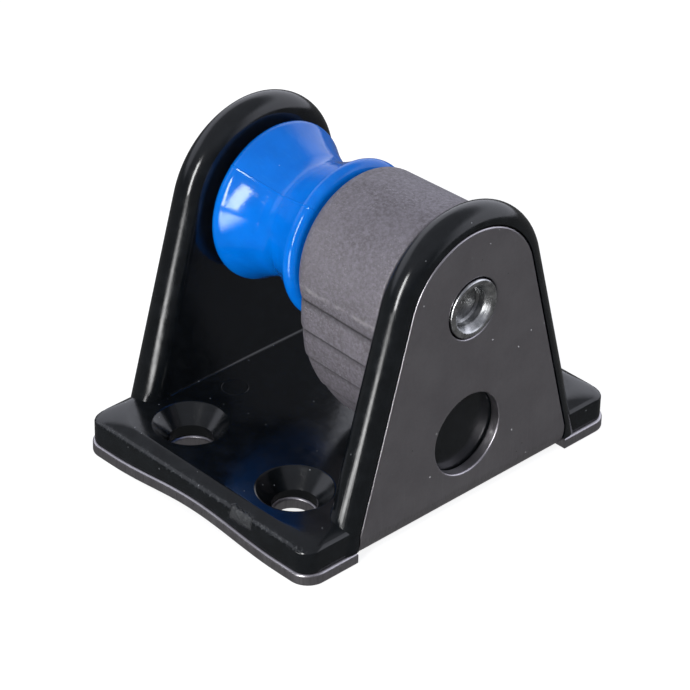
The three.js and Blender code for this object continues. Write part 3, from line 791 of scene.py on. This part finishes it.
def mark_groove_shade(made):
    """Notes on every point how deep it sits in the shade of a tooth's edge."""
    distance, points = along_grip()
    edges = np.arange(round(distance[-1] / TOOTH_PITCH)) * TOOTH_PITCH
    angles = np.arctan2(points[:, 1] - AXLE_Z, points[:, 0]) % (2 * math.pi)
    lead = SHADE_BEFORE / CAM_HUB_RADIUS
    angles = np.concatenate([[angles[0] - lead], angles])
    distance = np.concatenate([[-SHADE_BEFORE], distance])
    share = made.data.attributes.new(GROOVE_SHADE_SHARE, "FLOAT", "POINT")
    for vertex, value in zip(made.data.vertices, share.data):
        y, z = vertex.co.y / MM, vertex.co.z / MM - AXLE_Z
        angle = math.atan2(z, y) % (2 * math.pi)
        if math.hypot(y, z) < CAM_HUB_RADIUS - 1 or not angles[0] < angle < angles[-1]:
            continue
        past = np.interp(angle, angles, distance) - edges
        value.value = max(groove_shade(p) for p in past)


def groove_shade(past):
    """Share of shade at a distance past a tooth's edge, negative before it."""
    if past < -SHADE_BEFORE:
        return 0.0
    if past < SHADE_CORE:
        return 1.0
    return 0.45 * (1 - smoothstep(past, SHADE_CORE, SHADE_AFTER))


# ---------------------------------------------------------------- materials

class Nodes:
    """Short calls for the shader nodes of one tree."""

    def __init__(self, tree):
        self.tree = tree

    def add(self, kind, inputs=None, **settings):
        made = self.tree.nodes.new("ShaderNode" + kind)
        for key, value in settings.items():
            setattr(made, key, value)
        for key, value in (inputs or {}).items():
            self.feed(made.inputs[key], value)
        return made

    def feed(self, socket, value):
        if isinstance(value, bpy.types.NodeSocket):
            self.tree.links.new(value, socket)
        else:
            socket.default_value = value

    def vector(self, operation, a, b=None, scale=None):
        made = self.add("VectorMath", {0: a}, operation=operation)
        if b is not None:
            self.feed(made.inputs[1], b)
        if scale is not None:
            self.feed(made.inputs["Scale"], scale)
        return made.outputs["Vector"]

    def math(self, operation, a, b=0.0):
        return self.add("Math", {0: a, 1: b}, operation=operation).outputs[0]

    def plus(self, a, b):
        return self.math("ADD", a, b)

    def times(self, first, *others):
        for other in others:
            first = self.math("MULTIPLY", first, other)
        return first

    def off(self, value, centre):
        """How far a value is from a centre."""
        return self.math("ABSOLUTE", self.math("SUBTRACT", value, centre))

    def length(self, a, b):
        return self.math("SQRT", self.plus(self.times(a, a), self.times(b, b)))

    def ramp(self, value, low, high, to_low=0.0, to_high=1.0):
        made = self.add("MapRange", {"Value": value, "From Min": low, "From Max": high, "To Min": to_low,
                                     "To Max": to_high}, interpolation_type="SMOOTHSTEP")
        return made.outputs["Result"]

    def mix(self, share, a, b):
        made = self.add("Mix", data_type="RGBA")
        self.feed(made.inputs["Factor"], share)
        self.feed(made.inputs["A"], a)
        self.feed(made.inputs["B"], b)
        return made.outputs["Result"]


class Finish(Nodes):
    """A material under construction, with places in millimetres."""

    def __init__(self, name):
        self.material = bpy.data.materials.new(name)
        self.material.use_nodes = True
        super().__init__(self.material.node_tree)
        self.shader = self.tree.nodes["Principled BSDF"]
        self.place = self.vector("SCALE", self.add("TexCoord").outputs["Object"], scale=1 / MM)

    def set(self, **values):
        for key, value in values.items():
            self.feed(self.shader.inputs[key.replace("_", " ")], value)

    def part(self, axis):
        return self.add("SeparateXYZ", {0: self.place}).outputs[axis]

    def noise(self, per_mm, detail=3.0, roughness=0.55, stretch=(1, 1, 1), place=None):
        """Noise of about per_mm lumps a millimetre, finer along an axis whose stretch is larger."""
        where = self.vector("MULTIPLY", place or self.place, stretch)
        return self.add("TexNoise", {"Vector": where, "Scale": per_mm, "Detail": detail,
                                     "Roughness": roughness}).outputs["Fac"]

    def specks(self, per_mm, size, share):
        """Small round dots in a random share of the cells."""
        cells = self.add("TexVoronoi", {"Vector": self.place, "Scale": per_mm})
        draw = self.add("SeparateColor", {0: cells.outputs["Color"]}).outputs[0]
        chosen = self.math("LESS_THAN", draw, share)
        return self.times(self.ramp(cells.outputs["Distance"], size, size * 0.5), chosen)

    def bump(self, height, depth, onto=None):
        """Normal for a height of 0 to 1 that stands for depth millimetres."""
        made = self.add("Bump", {"Height": height, "Distance": depth * MM, "Strength": 1.0})
        if onto is not None:
            self.feed(made.inputs["Normal"], onto)
        return made.outputs["Normal"]

    def edges(self, low, high):
        """Share of outward edges, lightened for wear and with a painted highlight."""
        return self.ramp(self.add("NewGeometry").outputs["Pointiness"], low, high)


def grey(value, tint=0.0):
    return (value * (1 - tint), value, value * (1 + tint), 1.0)


def satin_steel():
    """Rolled stainless sheet: dark satin, faint streaks low on the ears, shear marks on the plate's edges."""
    dark, light = (0.43, 0.41, 0.44, 1), (0.54, 0.52, 0.55, 1)
    finish = Finish("satin_steel")
    mottle = finish.noise(0.12, detail=4)
    streaks = finish.noise(1.0, detail=4, roughness=0.7, stretch=(0.5, 3.2, 0.06))
    low_on_ear = finish.ramp(finish.part(2), 20, 4)
    streak_share = finish.times(finish.ramp(streaks, 0.52, 0.7), low_on_ear, 0.22)
    grain = finish.noise(6.0, detail=3, roughness=0.7)
    shear = finish.noise(1.0, detail=3, roughness=0.7, stretch=(4.5, 4.5, 0.3))
    cut_edge = finish.times(finish.ramp(finish.part(2), 4.4, 3.6), finish.ramp(shear, 0.45, 0.62))
    fine = finish.plus(grain, finish.noise(1.8, detail=5, roughness=0.75))
    tone = finish.ramp(finish.plus(mottle, finish.times(fine, 0.4)), 0.6, 1.2)
    dust = finish.specks(0.32, 0.06, 0.5)
    colour = finish.mix(tone, dark, light)
    colour = finish.mix(streak_share, colour, grey(0.7, 0.01))
    colour = finish.mix(finish.times(cut_edge, 0.3), colour, grey(0.2))
    colour = finish.mix(finish.specks(0.5, 0.06, 0.4), colour, grey(0.12))
    colour = finish.mix(dust, colour, grey(0.6))
    roughness = finish.ramp(finish.plus(grain, streaks), 0.6, 1.4, 0.3, 0.42)
    relief = finish.bump(finish.plus(grain, finish.times(streaks, 0.6)), 0.006)
    metallic = finish.math("SUBTRACT", 1.0, dust)
    finish.set(Base_Color=colour, Metallic=metallic, Roughness=roughness, Normal=relief)
    return finish.material


def gloss_black():
    """Glossy black moulding with a slight waviness, dust, fine scratches and rubbed crests."""
    finish = Finish("gloss_black")
    haze = finish.noise(0.35, detail=5, roughness=0.65)
    scratches = finish.ramp(finish.noise(1.5, detail=2, stretch=(0.15, 6, 0.5)), 0.66, 0.72)
    rubbed = rubbed_crest(finish)
    scar = gate_scar(finish)
    dust = finish.specks(0.45, 0.055, 0.5)
    colour = finish.mix(finish.ramp(haze, 0.3, 0.8), grey(0.005, 0.2), grey(0.009, 0.2))
    colour = finish.mix(finish.times(rubbed, 0.6), colour, grey(0.1, 0.05))
    colour = finish.mix(finish.times(scar, 0.35), colour, grey(0.09, 0.05))
    colour = finish.mix(finish.times(dust, 0.8), colour, grey(0.35, 0.05))
    roughness = finish.ramp(haze, 0.35, 0.75, 0.14, 0.24)
    roughness = finish.plus(roughness, finish.times(rubbed, 0.25))
    roughness = finish.plus(roughness, finish.times(scar, 0.25))
    relief = finish.bump(finish.noise(0.5, detail=2), 0.015)
    relief = finish.bump(scratches, 0.002, relief)
    relief = finish.bump(ejector_ring(finish), 0.05, relief)
    relief = finish.bump(finish.times(scar, finish.noise(1.4, detail=5)), 0.5, relief)
    finish.set(Base_Color=colour, Roughness=roughness, Specular_IOR_Level=0.5, Normal=relief)
    return finish.material


def rubbed_crest(finish):
    """Share of fine scuffing along the pad's front and back crests."""
    reach = finish.off(finish.part(1), 0)
    near_edge = finish.ramp(reach, PAD_HALF_Y - 1.6, PAD_HALF_Y - 0.3)
    near_crest = finish.ramp(finish.off(finish.part(2), PAD_CREST_Z + 0.05), 0.55, 0.1)
    scuffs = finish.ramp(finish.noise(1.6, detail=6, roughness=0.8), 0.5, 0.66)
    return finish.times(near_edge, near_crest, scuffs)


def ejector_ring(finish):
    """Faint ring that a round ejector leaves on the pad's top."""
    across = finish.math("SUBTRACT", finish.part(0), EJECTOR_X)
    along = finish.math("SUBTRACT", finish.part(1), EJECTOR_Y)
    off_ring = finish.off(finish.length(across, along), EJECTOR_RADIUS)
    on_top = finish.ramp(finish.off(finish.part(2), PAD_TOP_Z), 0.3, 0.1)
    return finish.times(finish.ramp(off_ring, 0.16, 0.02), on_top)


def gate_scar(finish):
    """Torn patch on the front edge of the pad where the moulding was cut from its runner."""
    noise = finish.noise(0.9, detail=5, roughness=0.7)
    ragged = finish.times(finish.math("SUBTRACT", noise, 0.5), 2.0)
    off_gate = finish.off(finish.plus(finish.part(0), ragged), GATE_X)
    in_x = finish.ramp(off_gate, 0.5 * GATE_LENGTH + 0.3, 0.5 * GATE_LENGTH - 0.3)
    rise = finish.plus(finish.part(2), finish.times(ragged, 0.4))
    in_z = finish.times(finish.ramp(rise, 4.1, 4.6), finish.ramp(rise, 6.5, 6.2))
    front = finish.ramp(finish.part(1), -PAD_HALF_Y + 1.6, -PAD_HALF_Y + 0.8)
    return finish.times(in_x, in_z, front)


def about_axle(finish, around, outward, along):
    """Coordinates round the axle line: (angle, radius, x) times the three densities."""
    y = finish.part(1)
    z = finish.math("SUBTRACT", finish.part(2), AXLE_Z)
    radius = finish.length(y, z)
    made = finish.add("CombineXYZ", {0: finish.times(finish.math("ARCTAN2", z, y), around),
                                     1: finish.times(radius, outward),
                                     2: finish.times(finish.part(0), along)})
    return made.outputs[0], radius


def blue_moulding():
    """Blue moulding with a soft gloss and fine rubbing marks that fan across the groove."""
    deep, bright, pale = (0.0, 0.165, 0.70, 1), (0.0, 0.195, 0.80, 1), (0.3, 0.55, 1.0, 1)
    finish = Finish("blue_moulding")
    cloud = finish.noise(0.2, detail=4)
    fan, _ = about_axle(finish, 34.0, 0.5, 0.45)
    marks = finish.ramp(finish.noise(1.0, detail=3, roughness=0.6, place=fan), 0.5, 0.68)
    patches = finish.ramp(finish.noise(0.13, detail=3), 0.45, 0.6)
    rubbing = finish.times(marks, patches)
    colour = finish.mix(finish.ramp(cloud, 0.3, 0.7), deep, bright)
    colour = finish.mix(finish.times(rubbing, 0.1), colour, (0.02, 0.33, 0.92, 1))
    colour = finish.mix(finish.times(finish.specks(0.3, 0.05, 0.4), 0.6), colour, pale)
    # outward edges lighter blue: a painted highlight, with some wear
    colour = finish.mix(finish.times(finish.edges(0.53, 0.6), 0.4), colour, (0.01, 0.30, 0.95, 1))
    roughness = finish.ramp(finish.plus(cloud, rubbing), 0.3, 1.2, 0.09, 0.2)
    relief = finish.bump(finish.noise(0.6, detail=2), 0.012)
    relief = finish.bump(finish.noise(3.0, detail=3), 0.004, relief)
    relief = finish.bump(rubbing, 0.008, relief)
    finish.set(Base_Color=colour, Roughness=roughness, Normal=relief)
    finish.set(Specular_IOR_Level=0.42, Specular_Tint=(0.85, 0.94, 1, 1))
    finish.set(Subsurface_Weight=0.06, Subsurface_Radius=(0.0002, 0.0004, 0.0012), Subsurface_Scale=1.0)
    return finish.material


def cam_casting():
    """Matt grey-brown casting: speckled skin, fine pits, painted shade in the grooves and a painted highlight
    line across its front.
    """
    dark, light, bright = (0.138, 0.124, 0.136, 1), (0.188, 0.173, 0.193, 1), (0.26, 0.245, 0.278, 1)
    finish = Finish("cam_casting")
    cloud = finish.noise(0.16, detail=4, roughness=0.6)
    skin = finish.noise(1.7, detail=5, roughness=0.75)
    sparkle = finish.ramp(finish.noise(2.6, detail=4, roughness=0.85), 0.55, 0.68)
    worn = finish.ramp(finish.noise(0.1, detail=2), 0.46, 0.58)
    speckle = finish.times(sparkle, finish.plus(finish.times(worn, 0.6), 0.25))
    flecks = finish.times(finish.specks(1.6, 0.22, 0.25), worn, 0.35)
    groove = finish.add("Attribute", attribute_name=GROOVE_SHADE_SHARE).outputs["Fac"]
    colour = finish.mix(finish.ramp(cloud, 0.3, 0.7), dark, light)
    colour = finish.mix(finish.ramp(skin, 0.35, 0.7), colour, bright)
    colour = finish.mix(finish.times(speckle, 0.75), colour, (0.6, 0.58, 0.62, 1))
    colour = finish.mix(flecks, colour, grey(0.62))
    # painted highlight: a pale broken line across the cam's front
    colour = finish.mix(finish.times(painted_front_highlight(finish), 0.5), colour, (0.48, 0.46, 0.47, 1))
    # outward edges lighter: wear and a painted highlight
    colour = finish.mix(finish.times(finish.edges(0.54, 0.6), 0.4), colour, (0.40, 0.38, 0.39, 1))
    # painted shade: the grooves under each tooth's edge darkened almost to black, where shadow falls
    colour = finish.mix(groove, colour, (0.012, 0.011, 0.012, 1))
    roughness = finish.ramp(skin, 0.3, 0.7, 0.6, 0.42)
    relief = finish.bump(finish.plus(skin, finish.times(sparkle, 0.5)), 0.11)
    finish.set(Base_Color=colour, Metallic=0.35, Roughness=roughness, Normal=relief)
    return finish.material


def painted_front_highlight(finish):
    """Share of the painted highlight: a broken pale line across the front of the cam, just under the axle's
    height.
    """
    near = finish.ramp(finish.off(finish.part(2), AXLE_Z - 1.2), 0.7, 0.1)
    broken = finish.ramp(finish.noise(0.6, detail=5), 0.42, 0.62)
    return finish.times(near, broken, finish.ramp(finish.part(1), -11, -12.5))


def axle_steel():
    """Turned stainless: fine rings and blotches, with painted shade darkening the drilled ends."""
    finish = Finish("axle_steel")
    rings, radius = about_axle(finish, 0.6, 9.0, 5.0)
    marks = finish.noise(1.0, detail=3, roughness=0.6, place=rings)
    blotch = finish.noise(0.8, detail=4, roughness=0.65)
    drill_shade = finish.ramp(radius, AXLE_DRILL_RADIUS + 0.2, AXLE_DRILL_RADIUS - 0.2)
    colour = finish.mix(finish.ramp(blotch, 0.35, 0.65), grey(0.42, 0.02), grey(0.68, 0.01))
    # painted shade inside the drilled ends
    colour = finish.mix(finish.times(drill_shade, 0.5), colour, grey(0.2))
    roughness = finish.ramp(finish.plus(marks, blotch), 0.6, 1.4, 0.2, 0.36)
    finish.set(Base_Color=colour, Metallic=1.0, Roughness=roughness, Normal=finish.bump(marks, 0.012))
    return finish.material


def spring_steel():
    """Drawn stainless wire with faint draw marks."""
    finish = Finish("spring_steel")
    marks = finish.noise(3.0, detail=3)
    colour = finish.mix(finish.ramp(marks, 0.3, 0.7), grey(0.38), grey(0.55))
    roughness = finish.ramp(marks, 0.3, 0.7, 0.25, 0.4)
    finish.set(Base_Color=colour, Metallic=1.0, Roughness=roughness, Normal=finish.bump(marks, 0.004))
    return finish.material


# ---------------------------------------------------------------- studio

CAMERA_AZIMUTH = math.radians(45.54)
CAMERA_ELEVATION = math.radians(32.6)
CAMERA_ROLL = math.radians(1.33)
CAMERA_DISTANCE = 540.6
CAMERA_LENS = 178.35
CAMERA_SENSOR = 36
CAMERA_TARGET = Vector((-1.42, 0.0, 16.66))
KEY_AZIMUTH = math.radians(17)
KEY_ELEVATION = math.radians(19)
KEY_DISTANCE = 900
KEY_SIZE = (165, 560)
KEY_WATTS = 6.0
KEY_TARGET = Vector((0, 0, 20))
SURROUND_COLOUR = (0.88, 0.9, 1.0, 1)
FLOOR_HALF = 3000.0
FLOOR_GAP = 0.02
FLOOR_GLOW = 1.4
FLOOR_GLOW_SHARE = 0.6
DIM_FLOOR = 0.12
DIM_SURROUND = 0.13
OVERHEAD_GLOW = 0.42
BACK_GLOW = 1.3
LEFT_GLOW = 1.0
GLARE = 14.0
GLARE_SLOPE = 0.22
GLARE_NEAR = 52.0
GLARE_FAR = 420.0
WHITE = (1, 1, 1, 1)


def direction(azimuth, elevation):
    """Unit vector towards a place round the object, azimuth 0 being in front at -Y."""
    flat = math.cos(elevation)
    return Vector((math.sin(azimuth) * flat, -math.cos(azimuth) * flat, math.sin(elevation)))


def camera():
    back = direction(CAMERA_AZIMUTH, CAMERA_ELEVATION)
    level = Vector((math.cos(CAMERA_AZIMUTH), math.sin(CAMERA_AZIMUTH), 0))
    upright = back.cross(level)
    right = level * math.cos(CAMERA_ROLL) + upright * math.sin(CAMERA_ROLL)
    up = upright * math.cos(CAMERA_ROLL) - level * math.sin(CAMERA_ROLL)
    made = bpy.data.objects.new("camera", bpy.data.cameras.new("camera"))
    made.data.lens = CAMERA_LENS
    made.data.sensor_width = CAMERA_SENSOR
    made.data.clip_start = 0.01
    made.data.clip_end = 100
    made.matrix_world = Matrix((right, up, back)).transposed().to_4x4()
    made.location = (CAMERA_TARGET + back * CAMERA_DISTANCE) * MM
    bpy.context.scene.collection.objects.link(made)
    bpy.context.scene.camera = made


def key_light():
    """Tall soft box in front and a little to the right, facing the object."""
    light = bpy.data.lights.new("key", "AREA")
    light.shape = "RECTANGLE"
    light.size, light.size_y = (side * MM for side in KEY_SIZE)
    light.energy = KEY_WATTS
    made = bpy.data.objects.new("key", light)
    away = direction(KEY_AZIMUTH, KEY_ELEVATION)
    made.location = (KEY_TARGET + away * KEY_DISTANCE) * MM
    made.rotation_mode = "QUATERNION"
    made.rotation_quaternion = away.to_track_quat("Z", "Y")
    bpy.context.scene.collection.objects.link(made)


def studio_world():
    """White to the camera; in reflections bright behind and at the left, fair overhead and dim in front."""
    world = bpy.data.worlds.new("studio")
    bpy.context.scene.world = world
    world.use_nodes = True
    nodes = Nodes(world.node_tree)
    nodes.tree.nodes.clear()
    toward = nodes.add("SeparateXYZ", {0: nodes.add("TexCoord").outputs["Generated"]})
    x, y, z = toward.outputs
    behind = nodes.times(nodes.ramp(y, 0.1, 0.6), nodes.ramp(z, 0.78, 0.5))
    beside = nodes.times(nodes.ramp(x, -0.45, -0.65), nodes.ramp(z, 0.1, 0.3), nodes.ramp(z, 0.74, 0.6))
    glow = nodes.math("MAXIMUM", nodes.times(behind, BACK_GLOW), nodes.times(beside, LEFT_GLOW))
    strength = nodes.plus(nodes.ramp(z, 0.1, 0.8, DIM_SURROUND, OVERHEAD_GLOW), glow)
    surround = nodes.add("Background", {"Color": SURROUND_COLOUR, "Strength": strength})
    backdrop = nodes.add("Background", {"Color": WHITE, "Strength": 1.0})
    seen = nodes.add("LightPath").outputs["Is Camera Ray"]
    mixed = nodes.add("MixShader", {0: seen, 1: surround.outputs[0], 2: backdrop.outputs[0]})
    nodes.add("OutputWorld", {"Surface": mixed.outputs[0]})


def floor():
    """Pale floor just under the deck face, dim in the object's reflections but for the key's glare."""
    corners = [(-1, -1), (1, -1), (1, 1), (-1, 1)]
    made = mesh_object("floor", [(x * FLOOR_HALF, y * FLOOR_HALF, 0) for x, y in corners], [(0, 1, 2, 3)])
    made.location.z = -FLOOR_GAP * MM
    finish = Finish("pale_floor")
    finish.set(Base_Color=grey(0.86), Roughness=0.9)
    path = finish.add("LightPath")
    glow = finish.add("Emission", {"Color": WHITE, "Strength": FLOOR_GLOW})
    mirrored = finish.add("Emission", {"Color": WHITE, "Strength": floor_glare(finish)})
    glow_share = finish.times(path.outputs["Is Camera Ray"], FLOOR_GLOW_SHARE)
    lit = finish.add("MixShader", {0: glow_share, 1: finish.shader.outputs[0], 2: glow.outputs[0]})
    glossy = path.outputs["Is Glossy Ray"]
    mixed = finish.add("MixShader", {0: glossy, 1: lit.outputs[0], 2: mirrored.outputs[0]})
    finish.feed(finish.tree.nodes["Material Output"].inputs["Surface"], mixed.outputs[0])
    made.data.materials.append(finish.material)


def floor_glare(finish):
    """Brightness of the floor in reflections: a glare that runs forward under the key light."""
    ahead = finish.times(finish.part(1), -1.0)
    aside = finish.off(finish.math("DIVIDE", finish.part(0), ahead), GLARE_SLOPE)
    reach = finish.times(finish.ramp(ahead, GLARE_NEAR, GLARE_NEAR + 25), finish.ramp(ahead, GLARE_FAR, 270))
    return finish.plus(DIM_FLOOR, finish.times(reach, finish.ramp(aside, 0.24, 0.02), GLARE))


def studio():
    studio_world()
    floor()
    key_light()
    bpy.context.scene.view_settings.view_transform = "Standard"


# ---------------------------------------------------------------- assembly

finished(steel_bracket(), "steel_bracket", "bracket", satin_steel())
finished(liner(), "liner", "bracket", gloss_black())
finished(axle(), "axle", "bracket", axle_steel())
finished(guide_roller(), "guide_roller", "roller", blue_moulding())
finished(cam(), "cam", "cam", cam_casting())

spring = frame["nodes"]["cam_spring"]
spring.data.materials.clear()
spring.data.materials.append(spring_steel())

studio()
camera()
